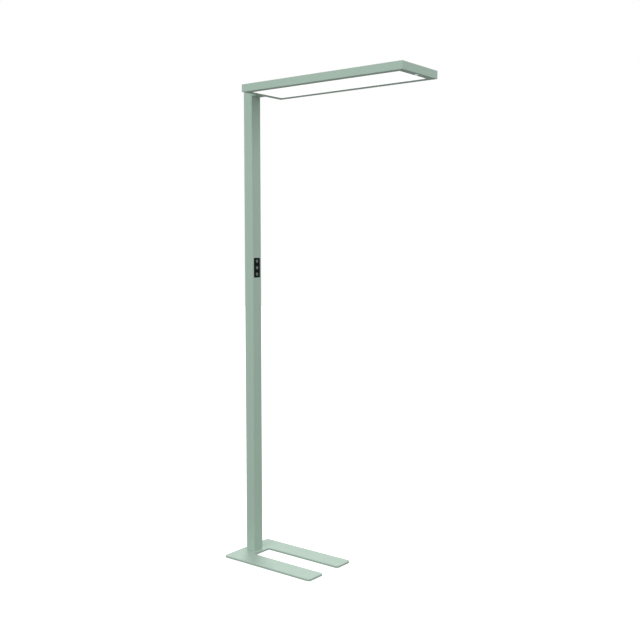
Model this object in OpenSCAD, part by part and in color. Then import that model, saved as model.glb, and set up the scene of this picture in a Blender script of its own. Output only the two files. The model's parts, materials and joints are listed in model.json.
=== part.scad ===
// Office floor lamp with a long flat head on a slender post and a U-shaped base plate.
// Millimetres, +Z up. The origin is the post's centre line at floor level.
// The head reaches towards +X, and so do the base plate's two legs.

/* [Overall] */
// Height of the lamp
total_h = 1950; // [1700:10:2100]

/* [Base plate] */
// Length of the base plate, from its closed end to the tips of its legs
base_len = 457; // [380:1:520]
// Width of the base plate
base_w = 274; // [240:2:360]
// Thickness of the base plate
plate_t = 8; // [6:1:12]
// Width of each leg
leg_w = 90; // [60:1:95]
// Depth of the closed bar that joins the legs
bar_d = 88; // [80:1:120]
// From the plate's closed end to the post's centre line
post_setback = 48; // [46:1:60]
// Radius of the plate's outer corners
plate_r = 12; // [4:1:20]
// How far the pads stand out under the plate
pad_proud = 0.5; // [0.5:0.5:2]

/* [Post] */
// Depth of the post, front to back
post_d = 44; // [42:1:50]
// Width of the post
post_w = 54; // [52:1:60]
// Wall thickness of the post
post_wall = 2.5; // [2:0.5:3]
// Radius of the post's long edges
post_r = 2.5; // [1:0.5:4]

/* [Head] */
// Length of the head
head_len = 756; // [700:2:900]
// Width of the head
head_w = 240; // [230:2:300]
// Height of the head
head_h = 30; // [30:1:36]
// Gap between the post and the head, which the neck bridges
neck_gap = 32; // [20:1:60]
// Width of the border round the diffuser
strip_w = 28.5; // [26:0.5:30]
// Wall thickness of the rails
rail_t = 2; // [1.5:0.5:2.5]

/* [Control panel] */
// Height of the middle button above the floor
panel_z = 1218; // [1000:1:1300]
// Width of the panel
panel_w = 37; // [36:1:40]
// Height of the panel
panel_h = 82; // [80:1:100]
// Distance between buttons
button_pitch = 27; // [25:1:28]
// Diameter of a button
button_d = 14; // [12:0.5:15]
// How far a button travels
button_travel = 0.8; // [0.4:0.1:0.8]

/* [Sensor] */
// Diameter of the sensor's lens
sensor_d = 15; // [10:1:15]

/* [Hidden] */
$fn = 48;

// Colours
sage = [0.62, 0.71, 0.65];
graphite = [0.07, 0.10, 0.10];
button_grey = [0.38, 0.43, 0.42];
steel = [0.72, 0.73, 0.74];
zinc = [0.62, 0.64, 0.66];
opal = [0.97, 0.97, 0.95];
board_green = [0.12, 0.35, 0.22];
board_white = [0.93, 0.93, 0.91];
moulded_white = [0.90, 0.90, 0.88];
rubber_black = [0.09, 0.09, 0.09];

// Base plate
base_x0 = -post_setback;
base_x1 = base_x0 + base_len;
slot_x0 = base_x0 + bar_d;
slot_w = base_w - 2 * leg_w;
slot_r = 4;
plate_z0 = pad_proud;
plate_z1 = plate_z0 + plate_t;
pad_d = 28;
pad_t = 2;
pad_recess = pad_t - pad_proud;
centre_pad_d = 56;
pad_inset = 26;
pad_play = 0.3;

// Foot block and its screws
block_d = post_d - 2 * post_wall - 0.4;
block_w = 32.6;
block_h = 60;
foot_dx = 11;
foot_dy = 10;
foot_screw_len = 26;

// Post
post_x1 = post_d / 2;
inner_x = post_x1 - post_wall;
inner_y = post_w / 2 - post_wall;
cap_t = 3;
post_top = total_h - cap_t;
port_x = inner_x - 3.3;
port_y = inner_y - 3.3;
port_r = 3.2;
port_bore_r = 2.1;
back_screw_z = [26, 54, 127, 513];
back_screw_r = 2.5;
back_head_r = 4.6;
bush_z = 95;
bush_r = 6;
loom_x = -5;
loom_r = 3;
loom_bend_r = 12;

// Gear sled and what it carries
sled_z0 = 120;
sled_z1 = 520;
sled_t = 1.2;
sled_x = -10;
groove_w = 2;
groove_rib = 1.5;
groove_depth = 3;
sled_half_w = inner_y - 0.3;
terminal_z = [132, 162];
driver_z = [190, 490];
driver_w = 30;
driver_d = 21;
sled_face_x = sled_x + sled_t;

// Head
head_x0 = post_x1 + neck_gap;
head_x1 = head_x0 + head_len;
head_mid_x = (head_x0 + head_x1) / 2;
head_z0 = total_h - head_h;
flange_t = 2;
edge_r = 0.8;
mitre = 40;
groove_v = [6.5, 8];
ledge_v = [13, 15];
ledge_u = 9;
top_ledge_v = [head_h - 4, head_h - 1.5];
carrier_t = 1.5;
cover_t = 1.5;
cover_play = 0.2;
screw_u = 5.6;
carrier_z = head_z0 + ledge_v[1];
carrier_top = carrier_z + carrier_t;

// Neck, with its screws and the way through for the loom
neck_inset = 1;
neck_bore_r = 4.5;
wire_v = 9;
wire_z = head_z0 + wire_v;
neck_screw_y = 13;
neck_screw_v = [7, 22.2];
neck_screw_r = 2.5;
neck_head_r = 3.5;
neck_head_t = 3;
brace_t = 3;
brace_half_w = 36;
brace_foot_t = 1.8;
brace_reach = 76;
backing_t = 4;

// Lighting parts
diffuser_recess = 0.8;
diffuser_rim = 4;
board_t = 1.6;
chip = 3;
chip_t = 0.7;
chip_pitch = 32;
down_rows = [-50, 0, 50];
down_chips = 20;
up_rows = [-35, 35];
up_chips = 17;
window_len = 600;
window_w = 140;
window_rim = 5;
window_t = 2;

// Sensor
sensor_x = head_x1 - strip_w / 2;
dome_h = 3.5;
dome_base_r = sensor_d / 2;
dome_sphere_r = (dome_base_r * dome_base_r + dome_h * dome_h) / (2 * dome_h);
sensor_collar_r = 9;
sensor_collar_v = 9;
sensor_wall = 1;
lead_r = 1.7;
lead_bend_r = 8;

// Control panel, measured along X from the post's front face
bezel_front = 0.6;
bezel_back = 4;
bezel_body_w = 33;
bezel_body_h = panel_h - 4.4;
window_play = 0.3;
tray_back = 11;
tray_wall = 1.4;
button_gap = 0.3;
button_r = button_d / 2;
button_flange_r = button_r + 1.5;
button_flange_t = 1.2;
pocket_r = button_flange_r + 0.4;
pocket_front = 1.1;
pip_len = 0.5;
pip_r = 2;
rest_gap = 0.1;
switch_side = 6;
switch_t = 3.4;
panel_screw_y = 12.5;
panel_screw_z = 35;
panel_screw_r = 1.1;
tray_post_r = 2.9;
plug_y = -8.5;
plug_z = [24, 31];
flange_front_x = post_x1 - pocket_front - rest_gap;
flange_back_x = flange_front_x - button_flange_t;
plunger_x = flange_back_x - pip_len - button_travel - rest_gap;

// Extrudes an outline drawn in Y and Z from x0 to x1.
module along_x(x0, x1) {
    translate([x0, 0, 0]) rotate([90, 0, 90]) linear_extrude(height = x1 - x0) children();
}

// Extrudes an outline drawn in X and Z from y0 to y1.
module along_y(y0, y1) {
    translate([0, y1, 0]) rotate([90, 0, 0]) linear_extrude(height = y1 - y0) children();
}

// A round bar along X.
module bar_x(r, x0, x1, y = 0, z = 0) {
    translate([x0, y, z]) rotate([0, 90, 0]) cylinder(r = r, h = x1 - x0);
}

// A round bar along Z.
module bar_z(r, z0, z1, x = 0, y = 0) {
    translate([x, y, z0]) cylinder(r = r, h = z1 - z0);
}

// A box from its lowest to its highest corner.
module box(low, high) {
    translate(low) cube(high - low);
}

// A rectangle with round corners, centred on the origin.
module round_rect(w, h, r) {
    square([w - 2 * r, h], center = true);
    square([w, h - 2 * r], center = true);
    for (x = [-1, 1], y = [-1, 1])
        translate([x * (w / 2 - r), y * (h / 2 - r)]) circle(r = r);
}

// A quarter of a bent tube in the XZ plane: it comes up along Z and leaves along +X.
module bend_up_to_x(r, bend_r) {
    translate([bend_r, 0, 0]) rotate([90, 0, 0])
        rotate([0, 0, 90]) rotate_extrude(angle = 90) translate([bend_r, 0]) circle(r = r);
}

// A screw along +Z with a flat countersunk head whose top is at z = 0 and whose shank runs down.
module flat_screw(shank_r, head_r, len) {
    head_t = head_r - shank_r;
    translate([0, 0, -len]) cylinder(r = shank_r, h = len - head_t);
    translate([0, 0, -head_t]) difference() {
        cylinder(r1 = shank_r, r2 = head_r, h = head_t);
        translate([0, 0, head_t * 0.45]) cylinder(r = shank_r * 0.6, h = head_t, $fn = 6);
    }
}

// The hole that a flat screw sits in.
module flat_hole(shank_r, head_r, len) {
    head_t = head_r - shank_r;
    translate([0, 0, -len]) cylinder(r = shank_r, h = len + 1);
    translate([0, 0, -head_t]) cylinder(r1 = shank_r, r2 = head_r, h = head_t);
    cylinder(r = head_r, h = 1);
}

// A screw along +Z with a low round head that sits on z = 0.
module pan_screw(shank_r, head_r, head_t, len) {
    translate([0, 0, -len]) cylinder(r = shank_r, h = len);
    difference() {
        cylinder(r = head_r, h = head_t);
        translate([0, 0, head_t * 0.4]) cylinder(r = head_r * 0.5, h = head_t, $fn = 6);
    }
}

module pad_places() {
    for (x = [base_x0 + pad_inset, base_x1 - pad_inset], y = [-1, 1])
        translate([x, y * (base_w / 2 - pad_inset), 0]) children();
}

module foot_screw_places() {
    for (x = [-1, 1], y = [-1, 1]) translate([x * foot_dx, y * foot_dy, 0]) children();
}

// ---- Base ----

module plate_outline() {
    difference() {
        translate([(base_x0 + base_x1) / 2, 0]) round_rect(base_len, base_w, plate_r);
        difference() {
            translate([slot_x0, -slot_w / 2]) square([base_len, slot_w]);
            for (side = [0, 1]) mirror([0, side]) translate([slot_x0, -slot_w / 2]) slot_corner();
        }
        for (side = [0, 1]) mirror([0, side]) translate([base_x1, slot_w / 2]) leg_corner();
    }
}

// The material left in an inner corner of the slot.
module slot_corner() {
    difference() {
        translate([-1, -1]) square(slot_r + 1);
        translate([slot_r, slot_r]) circle(r = slot_r);
    }
}

// The material cut off the inner corner of a leg's tip.
module leg_corner() {
    difference() {
        translate([-plate_r, -1]) square(plate_r + 1);
        translate([-plate_r, plate_r]) circle(r = plate_r);
    }
}

module base_plate() {
    color(sage) difference() {
        translate([0, 0, plate_z0]) linear_extrude(height = plate_t) plate_outline();
        pad_places() bar_z(pad_d / 2 + pad_play, plate_z0 - 1, plate_z0 + pad_recess);
        bar_z(centre_pad_d / 2 + pad_play, plate_z0 - 1, plate_z0 + pad_recess);
        foot_screw_places() translate([0, 0, plate_z0 + pad_recess]) mirror([0, 0, 1])
            flat_hole(3, 5.5, plate_t);
    }
}

module base_pads() {
    color(rubber_black) {
        pad_places() bar_z(pad_d / 2, 0, pad_t);
        bar_z(centre_pad_d / 2, 0, pad_t);
    }
}

module foot_block() {
    color(zinc) difference() {
        translate([-block_d / 2, -block_w / 2, plate_z1]) cube([block_d, block_w, block_h]);
        foot_screw_places() bar_z(3, plate_z1 - 1, plate_z1 + foot_screw_len);
        for (z = [back_screw_z[0], back_screw_z[1]]) bar_x(back_screw_r, -post_x1, -4, 0, z);
    }
}

module foot_screws() {
    color(steel) foot_screw_places()
        translate([0, 0, plate_z0 + pad_recess]) mirror([0, 0, 1]) flat_screw(3, 5.5, foot_screw_len);
}

// ---- Post ----

module post_outline() {
    difference() {
        round_rect(post_d, post_w, post_r);
        square([2 * inner_x, 2 * inner_y], center = true);
    }
    for (x = [-1, 1], y = [-1, 1]) screw_port(x, y);
    for (y = [-1, 1], rib = [0, 1])
        translate([sled_x - 0.4 + (rib == 0 ? -groove_rib : groove_w),
                   y > 0 ? inner_y - groove_depth : -inner_y])
            square([groove_rib, groove_depth]);
}

// A round port in a corner of the post, open on the side that faces the middle.
module screw_port(x, y) {
    difference() {
        union() {
            translate([x * port_x, y * port_y]) circle(r = port_r);
            translate([x > 0 ? port_x : -inner_x, y > 0 ? port_y : -inner_y])
                square([inner_x - port_x, inner_y - port_y]);
        }
        translate([x * port_x, y * port_y]) circle(r = port_bore_r);
        translate([x * (port_x - port_r), y * port_y]) square([2 * port_r, 1.6], center = true);
    }
}

module neck_screw_places() {
    for (y = [-1, 1], v = neck_screw_v) translate([0, y * neck_screw_y, head_z0 + v]) children();
}

module post() {
    color(sage) difference() {
        translate([0, 0, plate_z1]) linear_extrude(height = post_top - plate_z1) post_outline();
        panel_window();
        bar_x(neck_bore_r, 0, post_x1 + 1, 0, wire_z);
        neck_screw_places() bar_x(neck_screw_r, inner_x - 1, post_x1 + 1);
        bar_x(bush_r, -post_x1 - 1, -inner_x + 1, 0, bush_z);
        for (z = back_screw_z) translate([-post_x1, 0, z]) rotate([0, -90, 0])
            flat_hole(back_screw_r, back_head_r, post_wall + 1);
    }
}

module panel_window() {
    along_x(0, post_x1 + 1) translate([0, panel_z])
        round_rect(bezel_body_w + 2 * window_play, bezel_body_h + 2 * window_play, 2);
}

module post_screws() {
    color(steel) for (z = back_screw_z) translate([-post_x1, 0, z]) rotate([0, -90, 0])
        flat_screw(back_screw_r, back_head_r, z < sled_z0 ? 14 : 8);
}

module post_cap() {
    color(sage) {
        translate([0, 0, post_top]) linear_extrude(height = cap_t) round_rect(post_d, post_w, post_r);
        for (x = [-1, 1], y = [-1, 1])
            bar_z(port_bore_r - 0.05, post_top - 10, post_top, x * port_x, y * port_y);
    }
}

module cord_bush() {
    color(rubber_black) difference() {
        union() {
            bar_x(bush_r + 3, -post_x1 - 2.5, -post_x1, 0, bush_z);
            bar_x(bush_r - 0.1, -post_x1, -inner_x + 5, 0, bush_z);
            translate([-inner_x, 0, bush_z]) rotate([0, 90, 0]) cylinder(r = 10, h = 4, $fn = 6);
        }
        bar_x(4, -post_x1 - 4, -inner_x + 6, 0, bush_z);
    }
}

module gear_sled() {
    color(zinc) difference() {
        union() {
            box([sled_x, -sled_half_w, sled_z0 + 15], [sled_face_x, sled_half_w, sled_z1 - 15]);
            for (z = [sled_z0, sled_z1 - 15]) {
                box([-inner_x, -12, z], [-inner_x + sled_t * 2, 12, z + 15]);
                box([-inner_x, -12, z == sled_z0 ? z + 15 - sled_t : z],
                    [sled_face_x, 12, z == sled_z0 ? z + 15 : z + sled_t]);
            }
            for (z = [sled_z0 + 15, sled_z1 - 15])
                box([sled_x, -12, z - sled_t], [sled_face_x, 12, z + sled_t]);
        }
        for (z = [back_screw_z[2], back_screw_z[3]]) bar_x(back_screw_r, -post_x1, -10, 0, z);
        for (z = [220:60:460], y = [-19, 19]) bar_x(2.2, sled_x - 1, sled_face_x + 1, y, z);
    }
}

module terminal_block() {
    color(moulded_white) difference() {
        box([sled_face_x, -15, terminal_z[0]], [sled_face_x + 16, 15, terminal_z[1]]);
        for (y = [-10, 0, 10]) {
            bar_x(2.6, sled_face_x + 6, sled_face_x + 17, y, terminal_z[0] + 8);
            bar_x(2.6, sled_face_x + 6, sled_face_x + 17, y, terminal_z[1] - 8);
            bar_z(1.6, terminal_z[0] - 1, terminal_z[0] + 14, sled_face_x + 5, y);
        }
    }
}

module mains_wires() {
    wire_colours = [[0.45, 0.27, 0.12], [0.35, 0.62, 0.25], [0.12, 0.30, 0.62]];
    for (i = [0:2]) color(wire_colours[i])
        bar_z(1.2, terminal_z[1], driver_z[0], sled_face_x + 9, 10 * (i - 1));
}

module driver() {
    z0 = driver_z[0];
    z1 = driver_z[1];
    color(moulded_white) difference() {
        translate([sled_face_x, 0, 0]) box([0, -driver_w / 2, z0], [driver_d, driver_w / 2, z1]);
        for (z = [z0, z1 - 26], y = [-1, 1])
            box([sled_face_x + 9, y > 0 ? 9 : -16, z + 6],
                [sled_face_x + driver_d + 1, y > 0 ? 16 : -9, z + 20]);
        for (z = [z0 + 40:12:z1 - 40])
            box([sled_face_x + driver_d - 1, -9, z], [sled_face_x + driver_d + 1, 9, z + 5]);
    }
}

module post_loom() {
    z_bend = wire_z - loom_bend_r;
    color(rubber_black) {
        bar_z(loom_r, driver_z[1], z_bend, loom_x);
        translate([loom_x, 0, z_bend]) bend_up_to_x(loom_r, loom_bend_r);
        bar_x(loom_r, loom_x + loom_bend_r, head_x0 + 10, 0, wire_z);
    }
}

// ---- Control panel ----

module panel_screw_places() {
    for (y = [-1, 1], z = [-1, 1])
        translate([0, y * panel_screw_y, panel_z + z * panel_screw_z]) children();
}

module button_places() {
    for (i = [-1, 0, 1]) translate([0, 0, panel_z + i * button_pitch]) children();
}

module panel_bezel() {
    front = post_x1 + bezel_front;
    back = post_x1 - bezel_back;
    hook_x = inner_x - 0.3;
    color(graphite) difference() {
        union() {
            along_x(post_x1, front) translate([0, panel_z]) round_rect(panel_w, panel_h, 3);
            along_x(back, post_x1) translate([0, panel_z]) round_rect(bezel_body_w, bezel_body_h, 1.7);
            for (side = [-1, 1]) translate([0, 0, panel_z + side * bezel_body_h / 2])
                along_y(-5, 5)
                    polygon([[back, 0], [hook_x, 0], [hook_x, side * 1.2], [back, side * 0.2]]);
        }
        button_places() {
            bar_x(button_r + button_gap, back - 1, front + 1);
            bar_x(pocket_r, back - 1, post_x1 - pocket_front);
        }
        panel_screw_places() bar_x(panel_screw_r, back - 1, post_x1);
    }
}

module panel_tray() {
    x0 = post_x1 - tray_back;
    x1 = post_x1 - bezel_back;
    color(graphite) difference() {
        union() {
            difference() {
                along_x(x0, x1) translate([0, panel_z]) round_rect(bezel_body_w, bezel_body_h, 1.7);
                along_x(x0 + tray_wall, x1 + 1) translate([0, panel_z])
                    round_rect(bezel_body_w - 2 * tray_wall, bezel_body_h - 2 * tray_wall, 1);
            }
            panel_screw_places() bar_x(tray_post_r, x0, x1);
        }
        panel_screw_places() bar_x(panel_screw_r, x0 - 1, x1 + 1);
        box([x0 - 1, plug_y - 4.5, panel_z - plug_z[1] - 1],
            [x0 + tray_wall + 1, plug_y + 4.5, panel_z - plug_z[0] + 1]);
    }
}

module panel_board() {
    x0 = post_x1 - tray_back + tray_wall;
    x1 = x0 + board_t;
    color(board_green) {
        difference() {
            along_x(x0, x1) translate([0, panel_z]) square([29, 73], center = true);
            panel_screw_places() bar_x(tray_post_r + 0.3, x0 - 1, x1 + 1);
        }
        button_places() {
            translate([x1, -switch_side / 2, -switch_side / 2]) cube([switch_t, switch_side, switch_side]);
            bar_x(1.75, x1 + switch_t, plunger_x);
        }
        box([x0 - 5, plug_y - 3.5, panel_z - plug_z[1]], [x0, plug_y + 3.5, panel_z - plug_z[0]]);
    }
}

module panel_screws() {
    color(steel) panel_screw_places() translate([post_x1 - tray_back, 0, 0]) rotate([0, -90, 0])
        pan_screw(panel_screw_r, 2.2, 1.6, tray_back - 1);
}

module panel_lead() {
    color(rubber_black) bar_z(1.6, driver_z[1], panel_z - plug_z[1], post_x1 - tray_back - 1.8, plug_y);
}

// One button cap: a dished face, a flange that holds it behind the bezel and a pip over its switch.
module button(z) {
    front = post_x1 + bezel_front + 0.7;
    cap_h = front - flange_back_x;
    dish_r = 40;
    chamfer = 0.4;
    color(button_grey) translate([0, 0, z]) difference() {
        union() {
            translate([flange_back_x, 0, 0]) rotate([0, 90, 0]) rotate_extrude() polygon([
                [0, 0], [button_flange_r, 0], [button_flange_r, button_flange_t],
                [button_r, button_flange_t], [button_r, cap_h - chamfer],
                [button_r - chamfer, cap_h], [0, cap_h]
            ]);
            bar_x(pip_r, flange_back_x - pip_len, flange_back_x);
        }
        translate([front + dish_r - 0.5, 0, 0]) sphere(r = dish_r, $fn = 96);
    }
}

module button_top() {
    button(panel_z + button_pitch);
}

module button_middle() {
    button(panel_z);
}

module button_bottom() {
    button(panel_z - button_pitch);
}

// ---- Neck ----

module backing_plate() {
    color(zinc) difference() {
        box([inner_x - backing_t, -16, head_z0 - 20], [inner_x, 16, post_top - 2]);
        bar_x(neck_bore_r, 0, post_x1, 0, wire_z);
        neck_screw_places() bar_x(neck_screw_r, 0, post_x1);
    }
}

module neck() {
    color(sage) difference() {
        along_x(post_x1, head_x0) translate([0, head_z0 + head_h / 2])
            round_rect(post_w, head_h - 2 * neck_inset, 1.5);
        bar_x(neck_bore_r, post_x1 - 1, head_x0 + 1, 0, wire_z);
        neck_screw_places() {
            bar_x(neck_screw_r, post_x1 - 1, post_x1 + 12);
            bar_x(neck_screw_r, head_x0 - 12, head_x0 + 1);
        }
    }
}

module neck_screws() {
    reach = 10;
    color(steel) neck_screw_places() {
        translate([inner_x - backing_t, 0, 0]) rotate([0, -90, 0])
            pan_screw(neck_screw_r, neck_head_r, neck_head_t, backing_t + post_wall + reach);
        translate([head_x0 + rail_t + brace_t, 0, 0]) rotate([0, 90, 0])
            pan_screw(neck_screw_r, neck_head_r, neck_head_t, rail_t + brace_t + reach);
    }
}

module neck_brace() {
    x0 = head_x0 + rail_t;
    color(zinc) difference() {
        union() {
            box([x0, -brace_half_w, head_z0 + 3], [x0 + brace_t, brace_half_w, head_z0 + 25.5]);
            box([x0, -brace_half_w, carrier_top],
                [x0 + brace_reach, brace_half_w, carrier_top + brace_foot_t]);
        }
        bar_x(neck_bore_r, x0 - 1, x0 + brace_t + 1, 0, wire_z);
        neck_screw_places() bar_x(neck_screw_r, x0 - 1, x0 + brace_t + 1);
        brace_screw_places() bar_z(1.5, -4, 4);
    }
}

// ---- Head frame ----

// Section of a rail: u runs in from the head's outer face, v runs up from its underside.
module rail_outline() {
    translate([edge_r, 0]) square([rail_t - edge_r, head_h]);
    translate([0, edge_r]) square([rail_t, head_h - 2 * edge_r]);
    for (v = [edge_r, head_h - edge_r]) translate([edge_r, v]) circle(r = edge_r);
    translate([edge_r, 0]) square([strip_w - edge_r, flange_t]);
    rib(groove_v, rail_t + 3);
    rib(ledge_v, ledge_u);
    rib(top_ledge_v, ledge_u);
}

// A rib on the inside of a rail's wall, from v[0] to v[1] and in to u.
module rib(v, u) {
    translate([rail_t - 0.5, v[0]]) square([u - rail_t + 0.5, v[1] - v[0]]);
}

// A rail along the head's -Y side, cut at 45 degrees at both ends.
module side_rail() {
    intersection() {
        along_x(head_x0, head_x1) translate([-head_w / 2, head_z0]) rail_outline();
        translate([0, 0, head_z0 - 1]) linear_extrude(height = head_h + 2) polygon([
            [head_x0, -head_w / 2], [head_x1, -head_w / 2],
            [head_x1 - mitre, -head_w / 2 + mitre], [head_x0 + mitre, -head_w / 2 + mitre]
        ]);
    }
}

// A rail across the head's post end, cut at 45 degrees at both ends.
module end_rail() {
    intersection() {
        along_y(-head_w / 2, head_w / 2) translate([head_x0, head_z0]) rail_outline();
        translate([0, 0, head_z0 - 1]) linear_extrude(height = head_h + 2) polygon([
            [head_x0, -head_w / 2], [head_x0 + mitre, -head_w / 2 + mitre],
            [head_x0 + mitre, head_w / 2 - mitre], [head_x0, head_w / 2]
        ]);
    }
}

module to_free_end() {
    translate([2 * head_mid_x, 0, 0]) mirror([1, 0, 0]) children();
}

// Where the cover's screws go, at the height of the head's top.
module cover_screw_places() {
    for (x = [-320, -107, 107, 320], y = [-1, 1])
        translate([head_mid_x + x, y * (head_w / 2 - screw_u), total_h]) children();
    for (x = [-1, 1], y = [-70, 70])
        translate([head_mid_x + x * (head_len / 2 - screw_u), y, total_h]) children();
}

// Where the carrier's screws go, at the height of the carrier's top.
module carrier_screw_places() {
    for (x = [-300, 0, 300], y = [-1, 1])
        translate([head_mid_x + x, y * (head_w / 2 - screw_u - 0.8), carrier_top]) children();
}

// Where the brace is screwed to the carrier, at the height of the carrier's top.
module brace_screw_places() {
    for (x = [24, 64], y = [-26, 26]) translate([head_x0 + x, y, carrier_top]) children();
}

module rail_holes() {
    cover_screw_places() bar_z(1.5, -5, 1);
    carrier_screw_places() bar_z(1.5, -5, 1);
}

module side_rail_right() {
    color(sage) difference() {
        side_rail();
        rail_holes();
    }
}

module side_rail_left() {
    color(sage) difference() {
        mirror([0, 1, 0]) side_rail();
        rail_holes();
    }
}

module end_rail_post() {
    x0 = head_x0 + rail_t;
    color(sage) difference() {
        end_rail();
        rail_holes();
        box([x0, -brace_half_w - 0.5, head_z0 + 2.5],
            [x0 + ledge_u, brace_half_w + 0.5, head_z0 + 25.8]);
        bar_x(neck_bore_r, head_x0 - 1, x0 + 1, 0, wire_z);
        neck_screw_places() bar_x(neck_screw_r, head_x0 - 1, x0 + 1);
    }
}

module end_rail_free() {
    color(sage) difference() {
        to_free_end() end_rail();
        rail_holes();
        bar_z(dome_base_r + 0.2, head_z0 - 1, head_z0 + flange_t + 1, sensor_x);
    }
}

// One cleat: an angle that slides into the grooves of the two rails at a corner.
module cleat() {
    leg = 32;
    depth = 2.8;
    translate([head_x0 + rail_t, -head_w / 2 + rail_t, head_z0 + groove_v[1] + 0.1]) linear_extrude(
        height = ledge_v[0] - groove_v[1] - 0.2) difference() {
            square(leg);
            translate([depth, depth]) square(leg);
        }
}

module corner_cleats() {
    color(zinc) for (side = [0, 1]) mirror([0, side, 0]) {
        cleat();
        to_free_end() cleat();
    }
}

// ---- Inside the head ----

module carrier_plate() {
    inset = rail_t + brace_t + 0.3;
    color(zinc) difference() {
        box([head_x0 + inset, -head_w / 2 + inset, carrier_z],
            [head_x1 - inset, head_w / 2 - inset, carrier_top]);
        carrier_screw_places() bar_z(1.7, -4, 1);
        brace_screw_places() bar_z(1.5, -4, 1);
    }
}

module carrier_screws() {
    color(steel) {
        carrier_screw_places() pan_screw(1.5, 2.8, 1.8, carrier_t + 2);
        brace_screw_places() translate([0, 0, brace_foot_t])
            pan_screw(1.5, 2.8, 1.8, carrier_t + brace_foot_t + 1);
    }
}

// A board with a row of chips on its top, centred on the head's length.
module led_board(y, chips) {
    len = chips * chip_pitch;
    translate([head_mid_x, y, 0]) {
        translate([-len / 2, -8, 0]) cube([len, 16, board_t]);
        for (i = [0:chips - 1])
            translate([(i - (chips - 1) / 2) * chip_pitch - chip / 2, -chip / 2, board_t])
                cube([chip, chip, chip_t]);
    }
}

module led_boards_down() {
    color(board_white) translate([0, 0, carrier_z]) mirror([0, 0, 1])
        for (y = down_rows) led_board(y, down_chips);
}

module led_boards_up() {
    color(board_white) translate([0, 0, carrier_top]) for (y = up_rows) led_board(y, up_chips);
}

// Section of the reflector: a foot on the diffuser, a slope and a lip under the carrier.
module reflector_outline() {
    foot_v = flange_t + 2;
    t = 0.8;
    polygon([
        [31, foot_v], [35.6, foot_v], [45.6, ledge_v[1] - t], [51, ledge_v[1] - t],
        [51, ledge_v[1]], [45, ledge_v[1]], [35, foot_v + t], [31, foot_v + t]
    ]);
}

module reflector() {
    depth = 60;
    color(board_white) for (side = [0, 1]) {
        mirror([0, side, 0]) intersection() {
            along_x(head_x0, head_x1) translate([-head_w / 2, head_z0]) reflector_outline();
            translate([0, 0, head_z0]) linear_extrude(height = head_h) polygon([
                [head_x0, -head_w / 2], [head_x1, -head_w / 2],
                [head_x1 - depth, -head_w / 2 + depth], [head_x0 + depth, -head_w / 2 + depth]
            ]);
        }
        translate([side * 2 * head_mid_x, 0, 0]) mirror([side, 0, 0]) intersection() {
            along_y(-head_w / 2, head_w / 2) translate([head_x0, head_z0]) reflector_outline();
            translate([0, 0, head_z0]) linear_extrude(height = head_h) polygon([
                [head_x0, -head_w / 2], [head_x0 + depth, -head_w / 2 + depth],
                [head_x0 + depth, head_w / 2 - depth], [head_x0, head_w / 2]
            ]);
        }
    }
}

module diffuser() {
    gap = 0.3;
    low = strip_w + gap;
    rim = strip_w - diffuser_rim;
    color(opal) {
        box([head_x0 + low, -head_w / 2 + low, head_z0 + diffuser_recess],
            [head_x1 - low, head_w / 2 - low, head_z0 + flange_t]);
        box([head_x0 + rim, -head_w / 2 + rim, head_z0 + flange_t],
            [head_x1 - rim, head_w / 2 - rim, head_z0 + flange_t + 2]);
    }
}

module top_cover() {
    inset = rail_t + cover_play;
    color(sage) difference() {
        box([head_x0 + inset, -head_w / 2 + inset, total_h - cover_t],
            [head_x1 - inset, head_w / 2 - inset, total_h]);
        translate([head_mid_x, 0, total_h - 2 * cover_t]) linear_extrude(height = 3 * cover_t)
            round_rect(window_len, window_w, 6);
        cover_screw_places() flat_hole(1.5, 2.9, 4);
    }
}

module cover_screws() {
    color(steel) cover_screw_places() flat_screw(1.5, 2.9, 4);
}

module uplight_window() {
    gap = 0.25;
    color(opal) {
        translate([head_mid_x, 0, total_h - cover_t]) linear_extrude(height = cover_t - 0.3)
            round_rect(window_len - 2 * gap, window_w - 2 * gap, 6 - gap);
        translate([head_mid_x, 0, total_h - cover_t - window_t]) linear_extrude(height = window_t)
            round_rect(window_len + 2 * window_rim, window_w + 2 * window_rim, 8);
    }
}

module head_terminal() {
    x0 = head_x0 + 10;
    color(moulded_white) difference() {
        box([x0, -12, head_z0 + 5], [x0 + 18, 12, carrier_z]);
        for (y = [-7, 0, 7]) bar_z(1.5, head_z0 + 4, head_z0 + 9, x0 + 11, y);
    }
}

// The sensor's lead runs from the head's terminal round the left side to the sensor's board.
module sensor_lead() {
    start_x = head_x0 + 19;
    run_y = head_w / 2 - 14;
    color(rubber_black) {
        translate([start_x, 0, wire_z]) rotate([-90, 0, 0]) translate([0, 0, 12])
            cylinder(r = lead_r, h = run_y - lead_bend_r - 12);
        translate([start_x + lead_bend_r, run_y - lead_bend_r, wire_z]) rotate([0, 0, 90])
            rotate_extrude(angle = 90) translate([lead_bend_r, 0]) circle(r = lead_r);
        bar_x(lead_r, start_x + lead_bend_r, sensor_x - lead_bend_r, run_y, wire_z);
        translate([sensor_x - lead_bend_r, run_y - lead_bend_r, wire_z])
            rotate_extrude(angle = 90) translate([lead_bend_r, 0]) circle(r = lead_r);
        translate([sensor_x, 0, wire_z]) rotate([-90, 0, 0]) translate([0, 0, 17])
            cylinder(r = lead_r, h = run_y - lead_bend_r - 17);
    }
}

module sensor_board() {
    z0 = head_z0 + sensor_collar_v;
    color(board_green) {
        box([sensor_x - 10, -15, z0], [sensor_x + 10, 15, z0 + board_t]);
        box([sensor_x - 4, 11, z0 - 3.5], [sensor_x + 4, 17, z0 + 3.4]);
        bar_z(4, z0 - 4, z0, sensor_x);
    }
}

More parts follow.
